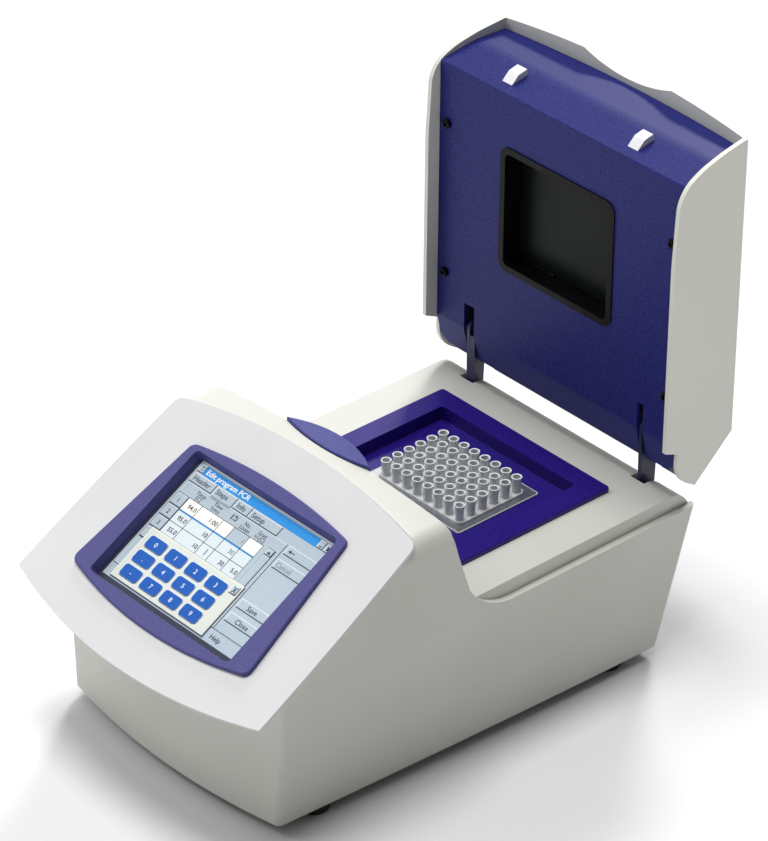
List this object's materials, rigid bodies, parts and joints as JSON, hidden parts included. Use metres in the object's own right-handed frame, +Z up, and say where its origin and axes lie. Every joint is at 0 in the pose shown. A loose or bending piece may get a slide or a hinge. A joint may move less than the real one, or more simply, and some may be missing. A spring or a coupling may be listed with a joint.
{
  "type": "thermal cycler",
  "caption": "Bench thermal cycler: sloped touch-screen front, tube block in a sunken deck and a hinged heated lid that stands open on two swan-neck arms.",
  "frame": {"origin": "centre of the footprint box, on the surface the feet stand on", "axes": "+X to the right of someone facing the screen, +Y to the back, +Z up; the lid stands open"},
  "size_m": [0.2108, 0.3867, 0.3257],
  "materials": {
    "white_plastic": "fine textured moulding",
    "blue_plastic": "fine speckled satin",
    "black_plastic": "moulded",
    "grey_plastic": "moulded",
    "rubber": "matt",
    "silicone": "matt",
    "sheet_steel": "zinc plated",
    "steel": "turned",
    "black_screw": "black oxide",
    "dark_metal": "satin paint",
    "aluminium": "milled",
    "dark_plate": "dark coating",
    "glass": "clear",
    "clear_plastic": "clear moulded",
    "screen": "lit colour display",
    "circuit_board": "solder resist",
    "ceramic": "ceramic"
  },
  "bodies": {
    "base": {"main_housing": "white_plastic", "bottom_plate": "sheet_steel", "rear_panel": "sheet_steel", "rubber_feet": "rubber", "foot_screws": "steel", "front_fascia": "white_plastic", "screen_bezel": "blue_plastic", "touch_glass": "glass", "lcd_module": "screen", "display_board": "circuit_board", "block_frame": "blue_plastic", "block_seal": "silicone", "sample_block": "aluminium", "peltier_modules": "ceramic", "heat_sink": "aluminium", "sink_posts": "sheet_steel", "fan_frame": "black_plastic", "hinge_crossbar": "sheet_steel", "arm_screws": "steel", "hinge_arm_left": "dark_metal", "hinge_arm_right": "dark_metal", "latch_guides": "sheet_steel", "pad_springs": "steel", "power_supply": "sheet_steel", "main_board": "circuit_board", "mains_inlet": "black_plastic", "switch_housing": "black_plastic", "rocker_pin": "steel", "data_port": "black_plastic", "housing_screws": "steel"},
    "lid": {"lid_cover": "white_plastic", "lid_case": "blue_plastic", "lid_screws": "black_screw", "window_frame": "black_plastic", "pressure_carrier": "sheet_steel", "lid_hooks": "white_plastic", "hinge_brackets": "sheet_steel", "hinge_pins": "steel"},
    "pressure_plate": {"heated_plate": "dark_plate"},
    "fan": {"fan_rotor": "black_plastic"},
    "pad": {"release_pad": "blue_plastic"},
    "latch": {"latch_bar": "grey_plastic"},
    "tube_plate": {"sample_plate": "clear_plastic"},
    "rocker": {"power_rocker": "black_plastic"}
  },
  "joints": [
    {"name": "lid_hinge", "type": "hinge", "parent": "base", "child": "lid", "pos_m": [0, 0.161, 0.133], "axis": [1, 0, 0], "range_deg": [0, 90]},
    {"name": "plate_float", "type": "slide", "parent": "lid", "child": "pressure_plate", "axis": [0, 1, 0], "range_m": [0, 0.003], "stiffness_N_per_m": 6000, "springref_m": -0.003},
    {"name": "pad_press", "type": "slide", "parent": "base", "child": "pad", "axis": [0, 0, -1], "range_m": [0, 0.003], "stiffness_N_per_m": 700, "springref_m": -0.002, "deforming": ["pad_springs"]},
    {"name": "latch_slide", "type": "slide", "parent": "base", "child": "latch", "axis": [0, -1, 0], "range_m": [0, 0.003]},
    {"name": "plate_lift", "type": "slide", "parent": "base", "child": "tube_plate", "axis": [0, 0, 1], "range_m": [0, 0.0105]},
    {"name": "fan_spin", "type": "hinge", "parent": "base", "child": "fan", "pos_m": [0, 0.058, 0.022], "axis": [0, 0, 1], "continuous": true},
    {"name": "rocker_tip", "type": "hinge", "parent": "base", "child": "rocker", "pos_m": [0, 0.13553, 0.04485], "axis": [1, 0, 0], "range_deg": [0, 14]}
  ],
  "couplings": [
    {"joint": "latch_slide", "follows": "pad_press", "ratio": 1}
  ]
}
